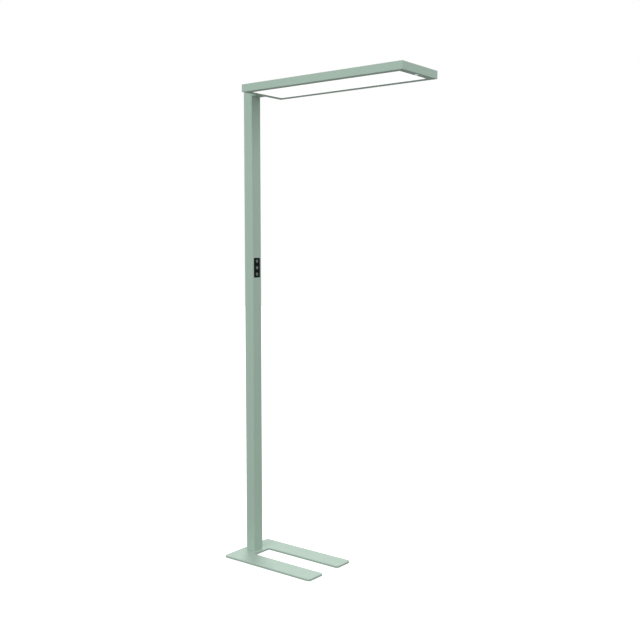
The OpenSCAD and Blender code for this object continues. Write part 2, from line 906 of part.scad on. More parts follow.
// The sensor's lens: a hollow dome through the border, a flange on it and a collar for the board.
module sensor_lens() {
    centre_z = head_z0 - dome_h + dome_sphere_r;
    color(moulded_white) translate([sensor_x, 0, 0]) difference() {
        union() {
            intersection() {
                translate([0, 0, centre_z]) sphere(r = dome_sphere_r, $fn = 96);
                bar_z(dome_base_r, head_z0 - dome_h - 1, head_z0);
            }
            bar_z(dome_base_r, head_z0, head_z0 + flange_t);
            bar_z(sensor_collar_r, head_z0 + flange_t, head_z0 + sensor_collar_v);
        }
        intersection() {
            translate([0, 0, centre_z]) sphere(r = dome_sphere_r - sensor_wall, $fn = 96);
            bar_z(dome_base_r - sensor_wall, head_z0 - dome_h, head_z0);
        }
        bar_z(dome_base_r - sensor_wall, head_z0, head_z0 + sensor_collar_v + 1);
    }
}

base_plate();
base_pads();
foot_block();
foot_screws();
post();
post_screws();
post_cap();
cord_bush();
gear_sled();
terminal_block();
mains_wires();
driver();
post_loom();
panel_lead();
panel_bezel();
panel_tray();
panel_board();
panel_screws();
button_top();
button_middle();
button_bottom();
backing_plate();
neck();
neck_screws();
neck_brace();
side_rail_left();
side_rail_right();
end_rail_post();
end_rail_free();
corner_cleats();
carrier_plate();
carrier_screws();
led_boards_down();
led_boards_up();
reflector();
diffuser();
top_cover();
cover_screws();
uplight_window();
head_terminal();
sensor_lead();
sensor_board();
sensor_lens();
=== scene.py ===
"""Office floor lamp: models its visible parts finely, gives every part its finish and sets a plain stage.

Metres throughout, +Z up. The origin is the post's centre line at floor level. The head reaches towards +X.
"""

import json
import math

import bmesh
import bpy
from bpy.props import FloatProperty, FloatVectorProperty, PointerProperty
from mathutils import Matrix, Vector


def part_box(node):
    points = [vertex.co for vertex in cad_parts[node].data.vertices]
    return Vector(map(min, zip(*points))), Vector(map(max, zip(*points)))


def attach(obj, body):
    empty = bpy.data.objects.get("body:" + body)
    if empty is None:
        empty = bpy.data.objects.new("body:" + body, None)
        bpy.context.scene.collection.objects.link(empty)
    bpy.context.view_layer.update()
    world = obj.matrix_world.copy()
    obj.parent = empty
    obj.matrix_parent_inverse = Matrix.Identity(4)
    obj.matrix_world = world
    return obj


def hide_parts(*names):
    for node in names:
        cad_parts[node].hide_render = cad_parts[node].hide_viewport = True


bl_info = {
    "name": "Office floor lamp",
    "version": (1, 0, 0),
    "blender": (4, 5, 0),
    "location": "3D View > Sidebar > Floor lamp",
    "description": "Models the visible parts of an office floor lamp and gives every part its finish",
    "category": "Add Mesh",
}

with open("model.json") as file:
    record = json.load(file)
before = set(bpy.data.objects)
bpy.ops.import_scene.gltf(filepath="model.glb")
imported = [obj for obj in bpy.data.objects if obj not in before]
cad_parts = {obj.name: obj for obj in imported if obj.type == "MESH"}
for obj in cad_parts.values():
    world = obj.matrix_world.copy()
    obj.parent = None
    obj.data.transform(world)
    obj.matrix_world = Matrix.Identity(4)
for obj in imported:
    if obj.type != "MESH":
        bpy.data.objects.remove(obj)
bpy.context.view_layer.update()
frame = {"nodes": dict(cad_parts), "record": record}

PLATE_LOW, PLATE_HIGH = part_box("base_plate")
POST_LOW, POST_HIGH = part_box("post")
HEAD_LOW = Vector((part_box("end_rail_post")[0].x, *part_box("side_rail_right")[0].yz))
HEAD_HIGH = Vector((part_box("end_rail_free")[1].x, *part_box("side_rail_left")[1].yz))
HEAD_MIDDLE = (HEAD_LOW.x + HEAD_HIGH.x) / 2
LENS_LOW, LENS_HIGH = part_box("sensor_lens")
LENS_MIDDLE = (LENS_LOW.x + LENS_HIGH.x) / 2
BUTTONS = ("button_top", "button_middle", "button_bottom")
BUTTON_HEIGHTS = [sum(corner.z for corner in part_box(node)) / 2 for node in BUTTONS]
BUTTON_BACK, BUTTON_FRONT = (corner.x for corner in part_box("button_middle"))

# Sizes in metres that several pieces share
FLANGE = 0.002  # thickness of the rails' lower flange
SHEET_STEP = 0.0012  # height of the step in the diffuser and in the window
SOFT = 0.0003  # rounding of the rims of small pieces
MARK_DEPTH = 0.0007  # how deep a button's mark is
MARK_SINK = 0.00028  # how far its front lies behind the rim of the dished face
PAST = 0.01  # how far a cutter reaches past what it cuts

X, Z = 0, 2
SQUARE = 0.9999  # a face looks along an axis if its normal has more than this along it
BLACK = (0.0, 0.0, 0.0)
WHITE = (1.0, 1.0, 1.0)
GREY = (0.5, 0.5, 0.5)


# ---- What a user would change ----


def length(name, description, default, low=0.0, high=1.0):
    """A size in metres."""
    return FloatProperty(
        name=name, description=description, default=default, min=low, max=high, precision=5, unit="LENGTH"
    )


def share(name, description, default, high=1.0):
    """A plain number without a unit."""
    return FloatProperty(
        name=name, description=description, default=default, min=0.0, max=high, subtype="FACTOR"
    )


def power(name, description, default):
    """A lamp's power in watts."""
    return FloatProperty(name=name, description=description, default=default, subtype="POWER")


def angle(name, description, degrees):
    """An angle, given in degrees and kept in radians."""
    return FloatProperty(name=name, description=description, default=math.radians(degrees), subtype="ANGLE")


def colour(name, description, default):
    """A linear colour."""
    return FloatVectorProperty(
        name=name, description=description, default=default, min=0.0, max=1.0, size=3, subtype="COLOR"
    )


class FLOORLAMP_PG_sizes(bpy.types.PropertyGroup):
    """Sizes of the parts that are modelled here, beyond what the frame gives"""

    bar_depth: length("Closed bar", "Depth of the bar that joins the base plate's legs", 0.088)
    leg_width: length("Leg", "Width of each leg of the base plate", 0.090)
    plate_corner: length("Plate corner", "Radius of the base plate's outer corners", 0.012)
    slot_corner: length("Slot corner", "Radius of the two inner corners of the slot", 0.004)
    post_corner: length("Post edge", "Radius of the post's long edges", 0.0025)
    strip_width: length("Border", "Width of the green border round the diffuser", 0.0285)
    rail_wall: length("Rail wall", "Wall thickness of the head's rails", 0.002)
    button_radius: length("Button", "Radius of a button's cap", 0.007)
    lens_radius: length("Lens", "Radius of the sensor's dome", 0.0075)


class FLOORLAMP_PG_edges(bpy.types.PropertyGroup):
    """How far the edges are rounded off"""

    plate: length("Plate", "Rounding along the base plate's rims", 0.0009, high=0.003)
    cap: length("Post cap", "Rounding of the post cap's rim", 0.0007, high=0.002)
    neck: length("Neck", "Radius of the neck's long edges", 0.0015, high=0.004)
    rail: length("Rail", "Radius of the rails' outer edges", 0.0008, high=0.0009)
    joint: length("Joint line", "Break along the edges of each joint", 0.0002, high=0.001)
    bezel: length("Bezel", "Rounding of the control panel's rim", 0.0004, high=0.0005)


class FLOORLAMP_PG_finishes(bpy.types.PropertyGroup):
    """Colours and surface detail of the finishes"""

    paint: colour("Paint", "Colour of the powder coat", (0.433, 0.577, 0.488))
    paint_grain: length("Paint grain", "Width of the powder coat's ripples", 0.0012, low=0.0002, high=0.01)
    # Edges are paler partly from rubbed wear and partly as a painted highlight.
    rubbed: share("Rubbed edges", "How much paler the coat is along its edges", 0.35)
    # The film on upward faces is partly dust and partly a painted sheen from light above.
    dust: share("Dust", "How much dust lies on upward faces", 0.20)
    panel: colour("Panel", "Colour of the control panel", (0.0045, 0.0060, 0.0058))
    button: colour("Button", "Colour of the push buttons", (0.130, 0.160, 0.161))
    mark: colour("Mark", "Colour of the marks on the buttons", (0.48, 0.52, 0.52))
    glow: colour("Glow", "Colour of the lit diffuser", (1.0, 1.0, 1.0))
    glow_strength: share("Glow strength", "Brightness of the lit diffuser", 0.8, high=4.0)


class FLOORLAMP_PG_stage(bpy.types.PropertyGroup):
    """Camera, lamps and floor"""

    camera_place: FloatVectorProperty(
        name="Camera", description="Where the camera stands", default=(2.511892, -2.779088, 1.30154), size=3,
        subtype="TRANSLATION",
    )
    heading: angle("Heading", "Camera's turn about the upright", 37.805)
    pitch: angle("Pitch", "How far the camera looks down", 4.655)
    lens: FloatProperty(
        name="Lens", description="Focal length in millimetres", default=50.0, min=10.0, max=200.0
    )
    dome: share("Dome", "Strength of the even light from all round", 0.42, high=4.0)
    front: power("Front", "Power of the lamp on the near side", 94.0)
    high: power("High side", "Power of the high lamp at the free end", 29.0)
    low: power("Low side", "Power of the low lamp at the free end", 26.0)
    back: power("Back", "Power of the lamp behind the post", 82.0)
    down: power("Down", "Power of the light that the head sheds", 0.25)
    floor: colour("Floor", "Colour of the floor", (0.80, 0.80, 0.80))


class FLOORLAMP_PG_settings(bpy.types.PropertyGroup):
    """All settings of the lamp"""

    sizes: PointerProperty(type=FLOORLAMP_PG_sizes)
    edges: PointerProperty(type=FLOORLAMP_PG_edges)
    finishes: PointerProperty(type=FLOORLAMP_PG_finishes)
    stage: PointerProperty(type=FLOORLAMP_PG_stage)


# ---- Modelling helpers ----


def select_only(piece):
    """Selects one object and makes it active."""
    bpy.ops.object.select_all(action="DESELECT")
    piece.select_set(True)
    bpy.context.view_layer.objects.active = piece


def apply_place(piece):
    """Moves the object's place, turn and scale into its mesh."""
    select_only(piece)
    bpy.ops.object.transform_apply(location=True, rotation=True, scale=True)
    return piece


def named(name):
    """Names the primitive that was just added and moves its place into its mesh."""
    piece = bpy.context.active_object
    piece.name = name
    piece.data.name = name
    return apply_place(piece)


def add_block(name, low, high):
    """A block from its lowest to its highest corner."""
    bpy.ops.object.select_all(action="DESELECT")
    middle = [(a + b) / 2 for a, b in zip(low, high)]
    bpy.ops.mesh.primitive_cube_add(size=1, location=middle, scale=[b - a for a, b in zip(low, high)])
    return named(name)


def add_disc(name, radius, start, end, sides=48):
    """A round bar from one point to another."""
    bpy.ops.object.select_all(action="DESELECT")
    start, end = Vector(start), Vector(end)
    bpy.ops.mesh.primitive_cone_add(
        vertices=sides, radius1=radius, radius2=radius, depth=(end - start).length,
        location=(start + end) / 2, rotation=(end - start).to_track_quat("Z", "Y").to_euler(),
    )
    return named(name)


def edit(piece):
    """Opens a piece in edit mode with nothing selected."""
    select_only(piece)
    bpy.ops.object.mode_set(mode="EDIT")
    bpy.ops.mesh.select_all(action="DESELECT")


def leave_edit():
    """Ends edit mode."""
    bpy.ops.object.mode_set(mode="OBJECT")


def pick(piece, kind, test):
    """In edit mode, selects only the faces or edges that pass the test."""
    bpy.ops.mesh.select_mode(type="FACE" if kind == "faces" else "EDGE")
    bpy.ops.mesh.select_all(action="DESELECT")
    mesh = bmesh.from_edit_mesh(piece.data)
    mesh.normal_update()
    found = [part for part in getattr(mesh, kind) if test(part)]
    if not found:
        raise RuntimeError(f"{piece.name}: no {kind} where they are expected")
    for part in found:
        part.select_set(True)
    mesh.select_flush_mode()
    bmesh.update_edit_mesh(piece.data)


def pick_faces(piece, test):
    """Selects faces by a test on their middle and their normal."""
    pick(piece, "faces", lambda face: test(face.calc_center_median(), face.normal))


def pick_end(piece, axis, sign):
    """Selects the flat faces that look along an axis and lie furthest that way."""
    mesh = bmesh.from_edit_mesh(piece.data)
    mesh.normal_update()
    flats = [face for face in mesh.faces if face.normal[axis] * sign > SQUARE]
    furthest = max((face.calc_center_median()[axis] * sign for face in flats), default=0.0) - 1e-6
    pick_faces(piece, lambda middle, normal: normal[axis] * sign > SQUARE and middle[axis] * sign > furthest)


def near(a, b, reach=2e-5):
    """True if two lengths are the same within a hair."""
    return abs(a - b) < reach


def along(axis, a, b):
    """True if the edge from a to b runs along the axis."""
    way = b - a
    return abs(way[axis]) > 0.999 * way.length


def round_edges(piece, width, segments, test):
    """Rounds the edges whose two ends pass the test. One segment breaks them flat."""
    pick(piece, "edges", lambda edge: test(edge.verts[0].co, edge.verts[1].co))
    bpy.ops.mesh.bevel(offset=width, segments=segments, affect="EDGES", clamp_overlap=False)


def round_rim(piece, axis, level, width, segments):
    """Rounds the edges that lie at one level of an axis."""
    round_edges(piece, width, segments, lambda a, b: near(a[axis], level) and near(b[axis], level))


def round_along(piece, axis, width, segments):
    """Rounds the edges that run along an axis."""
    round_edges(piece, width, segments, lambda a, b: along(axis, a, b))


def extrude(way):
    """Draws the selected faces out."""
    bpy.ops.mesh.extrude_region_move(TRANSFORM_OT_translate={"value": way})


def inset(width, depth=0.0):
    """Adds a border inside the selected face and sinks or raises what it leaves."""
    bpy.ops.mesh.inset(thickness=width, depth=depth)


def cut_edges(point, normal):
    """Adds edges where a plane meets the whole piece."""
    bpy.ops.mesh.select_all(action="SELECT")
    bpy.ops.mesh.bisect(plane_co=point, plane_no=normal)


def cut_off(point, normal):
    """Cuts the piece at a plane, keeps the side that the normal points to and closes the cut."""
    bpy.ops.mesh.select_all(action="SELECT")
    bpy.ops.mesh.bisect(plane_co=point, plane_no=normal, use_fill=True, clear_inner=True)


def tidy_flats():
    """Removes the edges that lie inside flat faces."""
    bpy.ops.mesh.select_all(action="SELECT")
    bpy.ops.mesh.dissolve_limited(angle_limit=math.radians(0.5))


def face_outwards():
    """Turns every face of the open piece outwards."""
    bpy.ops.mesh.select_all(action="SELECT")
    bpy.ops.mesh.normals_make_consistent(inside=False)


def modify(piece, kind, **settings):
    """Adds a modifier with these settings and applies it."""
    select_only(piece)
    bpy.ops.object.modifier_add(type=kind)
    modifier = piece.modifiers[-1]
    for key, value in settings.items():
        setattr(modifier, key, value)
    bpy.ops.object.modifier_apply(modifier=modifier.name)


def carve(piece, cutters):
    """Takes the cutters away from the piece."""
    for cutter in cutters:
        modify(piece, "BOOLEAN", operation="DIFFERENCE", solver="EXACT", object=cutter)
        mesh = cutter.data
        bpy.data.objects.remove(cutter)
        bpy.data.meshes.remove(mesh)


def copy_of(piece, name):
    """A copy with its own mesh."""
    copy = piece.copy()
    copy.data = piece.data.copy()
    copy.name = name
    copy.data.name = name
    bpy.context.scene.collection.objects.link(copy)
    return copy


def place(piece, spot, turn=0.0):
    """Turns a piece about the upright through the origin, and then moves it."""
    piece.rotation_euler = (0.0, 0.0, turn)
    piece.location = spot
    return apply_place(piece)


def join(name, pieces):
    """Joins pieces into one."""
    bpy.ops.object.select_all(action="DESELECT")
    for piece in pieces:
        piece.select_set(True)
    bpy.context.view_layer.objects.active = pieces[0]
    bpy.ops.object.join()
    pieces[0].name = name
    pieces[0].data.name = name
    return pieces[0]


def smooth(piece, degrees=32):
    """Shades rounded edges smoothly and keeps the large faces flat."""
    select_only(piece)
    bpy.ops.object.shade_smooth_by_angle(angle=math.radians(degrees))
    modify(piece, "WEIGHTED_NORMAL", keep_sharp=True, weight=100)


def hand_over(piece, node, finish="Sage powder coat", body="lamp"):
    """Gives a new piece its shading, its finish and its body, and hides the node that it stands for."""
    smooth(piece)
    if not piece.data.materials:
        piece.data.materials.append(bpy.data.materials[finish])
    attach(piece, body)
    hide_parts(node)


# ---- Finishes ----


class Tree:
    """A node tree, with short ways to add nodes and to link them."""

    def __init__(self, tree):
        self.tree = tree

    def add(self, kind, inputs=None, **settings):
        """Adds a node with its settings and what its inputs are fed."""
        node = self.tree.nodes.new(kind)
        for key, value in settings.items():
            setattr(node, key, value)
        for key, value in (inputs or {}).items():
            self.feed(node.inputs[key], value)
        return node

    def feed(self, socket, value):
        """Links an input to a socket or to a node's first output, or sets it to a plain value."""
        if isinstance(value, bpy.types.Node):
            value = value.outputs[0]
        if isinstance(value, bpy.types.NodeSocket):
            self.tree.links.new(value, socket)
        elif hasattr(socket.default_value, "__len__") and len(socket.default_value) == 4 and len(value) == 3:
            socket.default_value = (*value, 1.0)
        else:
            socket.default_value = value

    def group(self, name, **inputs):
        """Places a node group with its own values."""
        return self.add("ShaderNodeGroup", inputs, node_tree=bpy.data.node_groups[name]).outputs

    def maths(self, operation, first, *others):
        """Applies an operation to one value, or to several in turn."""
        for other in others or (0.0,):
            first = self.add("ShaderNodeMath", {0: first, 1: other}, operation=operation)
        return first

    def times(self, *values):
        """Multiplies values."""
        return self.maths("MULTIPLY", *values)

    def plus(self, *values):
        """Adds values."""
        return self.maths("ADD", *values)

    def minus(self, *values):
        """Takes the later values from the first."""
        return self.maths("SUBTRACT", *values)

    def weigh(self, a, b, weight):
        """Adds this much of one value and the rest of another."""
        return self.plus(self.times(a, weight), self.times(b, 1.0 - weight))

    def mix(self, factor, a, b, **settings):
        """Blends two colours."""
        return self.add("ShaderNodeMix", {0: factor, 6: a, 7: b}, data_type="RGBA", **settings).outputs[2]

    def tone(self, base, value):
        """Makes a colour darker below 1 and lighter above."""
        return self.add("ShaderNodeHueSaturation", {"Value": value, "Color": base})

    def ramp(self, value, low, high, at_low=0.0, at_high=1.0):
        """Maps low..high to at_low..at_high and holds the ends."""
        inputs = {"Value": value, "From Min": low, "From Max": high, "To Min": at_low, "To Max": at_high}
        return self.add("ShaderNodeMapRange", inputs)

    def noise(self, vector, scale, detail=2.0, roughness=0.5):
        """Noise from 0 to 1."""
        inputs = {"Vector": vector, "Scale": scale, "Detail": detail, "Roughness": roughness}
        return self.add("ShaderNodeTexNoise", inputs).outputs["Fac"]

    def split(self, vector):
        """The X, Y and Z of a vector."""
        return self.add("ShaderNodeSeparateXYZ", {0: vector}).outputs


class Finish(Tree):
    """A material's tree, with its Principled shader and the piece's own coordinates."""

    def __init__(self, name, **plain):
        """Starts the material. Values that are the same all over are set on the shader."""
        material = bpy.data.materials.new(name)
        material.use_nodes = True
        super().__init__(material.node_tree)
        self.shader = next(node for node in material.node_tree.nodes if node.type == "BSDF_PRINCIPLED")
        self.vector = self.add("ShaderNodeTexCoord").outputs["Object"]
        for key, value in plain.items():
            self.set(key.replace("_", " ").title().replace("Ior", "IOR"), value)

    def set(self, label, value):
        """Feeds one of the shader's inputs."""
        self.feed(self.shader.inputs[label], value)

    def rubbed(self, radius, amount):
        """The mask of edges that are paled by rubbed wear and by a painted highlight."""
        return self.group("Rubbed edges", Vector=self.vector, Radius=radius, Amount=amount)["Mask"]

    def bump(self, height, strength, distance):
        """Feeds a height to the shader's normal."""
        inputs = {"Height": height, "Strength": strength, "Distance": distance}
        self.set("Normal", self.add("ShaderNodeBump", inputs))


def emptied(owner):
    """The node tree of a material or a world, with nothing in it."""
    owner.use_nodes = True
    owner.node_tree.nodes.clear()
    return Tree(owner.node_tree)


def new_group(name, inputs, outputs):
    """Starts a node group. Returns its tree, what comes in, and a function that sends values out.

    Each input has its default: a colour, a number, or None for coordinates.
    """
    group = bpy.data.node_groups.new(name, "ShaderNodeTree")
    for label, default in inputs.items():
        kind = "Vector" if default is None else "Color" if isinstance(default, tuple) else "Float"
        socket = group.interface.new_socket(name=label, in_out="INPUT", socket_type=f"NodeSocket{kind}")
        if default is not None:
            socket.default_value = (*default, 1.0) if kind == "Color" else default
    for label in outputs:
        kind = "Color" if label == "Colour" else "Float"
        group.interface.new_socket(name=label, in_out="OUTPUT", socket_type=f"NodeSocket{kind}")
    tree = Tree(group)
    came_in = tree.add("NodeGroupInput").outputs
    end = tree.add("NodeGroupOutput")
    return tree, came_in, lambda label, value: tree.feed(end.inputs[label], value)


def group_coat_grain():
    """Ripples, speckle and a slow drift in tone, as on powder coat and on moulded plastic."""
    tree, given, send = new_group(
        "Coat grain",
        {"Vector": None, "Colour": GREY, "Size": 0.001, "Tone": 0.05, "Roughness": 0.5, "Spread": 0.1},
        ("Colour", "Roughness", "Height"),
    )
    scale = tree.maths("DIVIDE", 1.0, given["Size"])
    ripple = tree.noise(given["Vector"], scale, 2.0, 0.55)
    speckle = tree.noise(given["Vector"], tree.times(scale, 3.3), 1.0)
    drift = tree.noise(given["Vector"], 5.0, 2.0)
    fine = tree.minus(tree.weigh(ripple, speckle, 0.6), 0.5)
    change = tree.plus(fine, tree.minus(drift, 0.5))
    value = tree.plus(1.0, tree.times(change, given["Tone"]))
    send("Colour", tree.tone(given["Colour"], value))
    send("Roughness", tree.plus(given["Roughness"], tree.times(change, given["Spread"])))
    send("Height", tree.weigh(ripple, speckle, 0.75))


def group_rubbed_edges():
    """A mask along edges, broken up so that it isn't an even line: rubbed wear together with a painted edge
    highlight.
    """
    tree, given, send = new_group("Rubbed edges", {"Vector": None, "Radius": 0.001, "Amount": 0.5}, ("Mask",))
    round_normal = tree.add("ShaderNodeBevel", {"Radius": given["Radius"]}, samples=6).outputs["Normal"]
    true_normal = tree.add("ShaderNodeNewGeometry").outputs["Normal"]
    agree = tree.add("ShaderNodeVectorMath", {0: round_normal, 1: true_normal}, operation="DOT_PRODUCT")
    bend = tree.ramp(tree.minus(1.0, agree.outputs["Value"]), 0.01, 0.16)
    patches = tree.ramp(tree.noise(given["Vector"], 45.0, 4.0, 0.6), 0.36, 0.62)
    send("Mask", tree.times(bend, patches, given["Amount"]))


def group_dust_and_sheen():
    """A thin film on faces that look up: a little dust, and a painted sheen that pales the tops as light from
    above would.
    """
    tree, given, send = new_group(
        "Dust film",
        {"Vector": None, "Colour": GREY, "Dust Colour": (0.74, 0.73, 0.70), "Amount": 0.1},
        ("Colour", "Mask"),
    )
    upward = tree.split(tree.add("ShaderNodeNewGeometry").outputs["Normal"])["Z"]
    facing = tree.ramp(upward, 0.35, 0.95)
    clumps = tree.ramp(tree.noise(given["Vector"], 22.0, 5.0, 0.65), 0.35, 0.75, 0.35, 1.0)
    mask = tree.times(facing, clumps, given["Amount"])
    send("Colour", tree.mix(mask, given["Colour"], given["Dust Colour"]))
    send("Mask", mask)


def group_drawn_metal():
    """Fine lines along one direction, as rolling or brushing leaves them. The vector comes in scaled."""
    tree, given, send = new_group(
        "Drawn metal",
        {"Vector": None, "Colour": (0.6, 0.6, 0.6), "Tone": 0.12, "Roughness": 0.3},
        ("Colour", "Roughness", "Height"),
    )
    lines = tree.noise(given["Vector"], 1.0, 3.0, 0.6)
    offset = tree.minus(lines, 0.5)
    value = tree.plus(1.0, tree.times(offset, given["Tone"]))
    send("Colour", tree.tone(given["Colour"], value))
    send("Roughness", tree.plus(given["Roughness"], tree.times(offset, 0.22)))
    send("Height", lines)


def coated(name, base, size, rough, tone=0.05, spread=0.1, edge=None, edge_amount=0.3, edge_radius=0.001,
           dust=0.0, strength=0.25, distance=0.00004, **plain):
    """A coated or moulded surface with grain, paler edges from rubbed wear and a painted highlight, and a
    film of dust and painted sheen on upward faces.
    """
    look = Finish(name, **plain)
    spot = look.vector
    grain = look.group(
        "Coat grain", Vector=spot, Colour=base, Size=size, Tone=tone, Roughness=rough, Spread=spread
    )
    look.surface = grain["Colour"]
    if edge:
        # Paler edges: rubbed wear and a painted edge highlight.
        look.surface = look.mix(look.rubbed(edge_radius, edge_amount), look.surface, edge)
    # Upward faces are paled by dust and by a painted sheen.
    if dust:
        look.surface = look.group("Dust film", Vector=spot, Colour=look.surface, Amount=dust)["Colour"]
    look.set("Base Color", look.surface)
    look.set("Roughness", grain["Roughness"])
    look.bump(grain["Height"], strength, distance)
    return look


def metal(name, base, stretch, rough, tone):
    """Bare metal with lines along one direction and brighter edges."""
    look = Finish(name, metallic=1.0)
    drawn = look.add("ShaderNodeMapping", {"Vector": look.vector, "Scale": stretch})
    lines = look.group("Drawn metal", Vector=drawn, Colour=base, Tone=tone, Roughness=rough)
    bright = [min(1.0, channel * 1.25) for channel in base]
    # Brighter edges: wear and a painted edge highlight.
    look.set("Base Color", look.mix(look.rubbed(0.0005, 0.35), lines["Colour"], bright))
    look.set("Roughness", lines["Roughness"])
    look.bump(lines["Height"], 0.15, 0.00003)


def paler(base, amount):
    """A colour moved this far towards white."""
    return [channel + (1.0 - channel) * amount for channel in base]


def paint_finish(finishes):
    """Powder coat with fine ripples, paler edges from rubbed wear and a painted highlight, and a little dust
    with a painted sheen on upward faces.
    """
    base = tuple(finishes.paint)
    coated(
        "Sage powder coat", base, finishes.paint_grain, 0.56, tone=0.06, spread=0.12, edge=paler(base, 0.35),
        edge_amount=finishes.rubbed, edge_radius=0.0012, dust=finishes.dust, strength=0.35, distance=0.00010,
        specular_ior_level=0.3,
    )


def panel_finishes(finishes):
    """Smooth black plastic with faint smears, the plastic behind it, the buttons and their marks."""
    panel, button = tuple(finishes.panel), tuple(finishes.button)
    look = coated(
        "Black panel plastic", panel, 0.0009, 0.20, tone=0.10, spread=0.05, edge=paler(panel, 0.10),
        edge_amount=0.5, edge_radius=0.0006, dust=0.02, strength=0.06, distance=0.00002,
        specular_ior_level=0.04,
    )
    look.set("Roughness", look.ramp(look.noise(look.vector, 60.0, 4.0, 0.6), 0.40, 0.70, 0.15, 0.34))
    coated(
        "Black inner plastic", (0.018, 0.019, 0.019), 0.0011, 0.52, tone=0.25, edge=(0.06, 0.06, 0.06),
        dust=0.03, strength=0.3,
    )
    coated(
        "Grey button plastic", button, 0.0006, 0.42, tone=0.08, edge=paler(button, 0.20), edge_amount=0.5,
        edge_radius=0.0005, dust=0.02, strength=0.18, distance=0.00002, specular_ior_level=0.2,
    )
    coated("Pale button mark", tuple(finishes.mark), 0.0004, 0.50, tone=0.10, strength=0.1, distance=0.00001)


def rubber_finishes():
    """Rubber, cable sheath and three coloured wires side by side."""
    coated(
        "Black rubber", (0.020, 0.020, 0.020), 0.0008, 0.78, tone=0.35, edge=(0.07, 0.07, 0.068),
        edge_amount=0.5, dust=0.06, strength=0.45,
    )
    coated("Cable sheath", (0.026, 0.026, 0.027), 0.0014, 0.55, tone=0.25, dust=0.04, strength=0.25)
    look = coated("Wire sleeve", GREY, 0.0008, 0.45, tone=0.1, strength=0.15)
    across = look.split(look.vector)["Y"]
    brown, green, blue = (0.160, 0.060, 0.016), (0.100, 0.330, 0.060), (0.020, 0.075, 0.330)
    wires = look.mix(look.maths("GREATER_THAN", across, -0.005), brown, green)
    wires = look.mix(look.maths("GREATER_THAN", across, 0.005), wires, blue)
    look.set("Base Color", look.mix(1.0, wires, look.surface, blend_type="OVERLAY"))


def metal_finishes():
    """Steel without a direction, sheet rolled along Z and aluminium rolled along X."""
    metal("Screw steel", (0.56, 0.57, 0.58), (900.0, 900.0, 900.0), 0.30, 0.20)
    metal("Zinc sheet", (0.60, 0.61, 0.62), (220.0, 220.0, 14.0), 0.42, 0.22)
    metal("Bare aluminium", (0.78, 0.79, 0.80), (24.0, 800.0, 800.0), 0.34, 0.14)


def white_finishes():
    """White sheet and white mouldings."""
    coated(
        "White reflector", (0.84, 0.84, 0.82), 0.0010, 0.34, tone=0.03, edge=(0.9, 0.9, 0.89), dust=0.03,
        strength=0.12,
    )
    coated(
        "White moulding", (0.76, 0.76, 0.73), 0.0010, 0.46, edge=(0.85, 0.85, 0.83), dust=0.05, strength=0.3
    )


def lens_finish():
    """Milky plastic with a painted glow: emission paints the diffuser's light on the side of the dome that
    faces it, because the diffuser sheds no light on other parts.
    """
    look = coated(
        "Sensor lens plastic", (0.80, 0.81, 0.79), 0.0006, 0.30, tone=0.04, edge=(0.9, 0.9, 0.9), dust=0.02,
        strength=0.1, subsurface_weight=0.15, coat_weight=0.2, emission_strength=0.6,
    )
    # Painted light: the emission is strongest on the side towards the diffuser and fades away from it.
    painted_diffuser_light = look.ramp(look.split(look.vector)["X"], LENS_MIDDLE - 0.006, LENS_MIDDLE + 0.005, 1.0, 0.15)
    look.set("Emission Color", look.mix(painted_diffuser_light, BLACK, (1.0, 1.0, 0.98)))


def diffuser_finish(finishes):
    """Opal sheet with fine prisms. Its glow drops a little by the frame and between the rows of lights."""
    row_pitch, prism_pitch = 0.05, 0.0015
    look = coated(
        "Opal diffuser", (0.88, 0.88, 0.87), 0.0012, 0.42, tone=0.02, strength=0.1,
        emission_strength=finishes.glow_strength,
    )
    parts = look.split(look.vector)
    wave = look.maths("COSINE", look.times(parts["Y"], math.tau / row_pitch))
    rows = look.ramp(wave, -1.0, 1.0, 0.985, 1.0)
    from_middle = look.maths("ABSOLUTE", look.minus(parts["X"], HEAD_MIDDLE))
    ends = look.ramp(from_middle, 0.30, 0.352, 1.0, 0.96)
    sides = look.ramp(look.maths("ABSOLUTE", parts["Y"]), 0.070, 0.092, 1.0, 0.96)
    look.set("Emission Color", look.tone(tuple(finishes.glow), look.times(rows, ends, sides)))
    prisms = [look.maths("SINE", look.times(parts[axis], math.tau / prism_pitch)) for axis in "XY"]
    look.bump(look.plus(*prisms), 0.3, 0.00004)


def window_finish():
    """Satin acrylic over the upward light, through which the boards show softly."""
    coated(
        "Satin window", (0.93, 0.94, 0.93), 0.0010, 0.26, tone=0.02, dust=0.08, strength=0.1,
        transmission_weight=0.85, ior=1.49,
    )


def board_finishes():
    """White boards whose raised chips are yellow and lit, and green boards with tracks."""
    chip = 0.0007 - 2e-5
    for name, level, side in (
        ("Lower light board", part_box("led_boards_down")[0].z + chip, "LESS_THAN"),
        ("Upper light board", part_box("led_boards_up")[1].z - chip, "GREATER_THAN"),
    ):
        look = coated(name, (0.80, 0.80, 0.78), 0.0015, 0.40, strength=0.1, emission_strength=1.5)
        parts = look.split(look.vector)
        raised = look.maths(side, parts["Z"], level)
        stripes = look.maths("ABSOLUTE", look.maths("SINE", look.times(parts["Y"], 900.0)))
        track = look.times(look.maths("LESS_THAN", stripes, 0.16), 0.35)
        board = look.mix(track, look.surface, (0.62, 0.63, 0.60))
        look.set("Base Color", look.mix(raised, board, (0.86, 0.74, 0.26)))
        look.set("Emission Color", look.mix(raised, BLACK, (1.0, 0.93, 0.80)))
    look = coated("Green circuit board", (0.018, 0.115, 0.050), 0.0012, 0.36, tone=0.15, strength=0.12)
    tracks = {"Scale": 90.0, "Mortar Size": 0.06, "Color1": BLACK, "Color2": BLACK, "Mortar": WHITE}
    lines = look.times(look.add("ShaderNodeTexBrick", {"Vector": look.vector, **tracks}), 0.5)
    look.set("Base Color", look.mix(lines, look.surface, (0.060, 0.260, 0.110)))


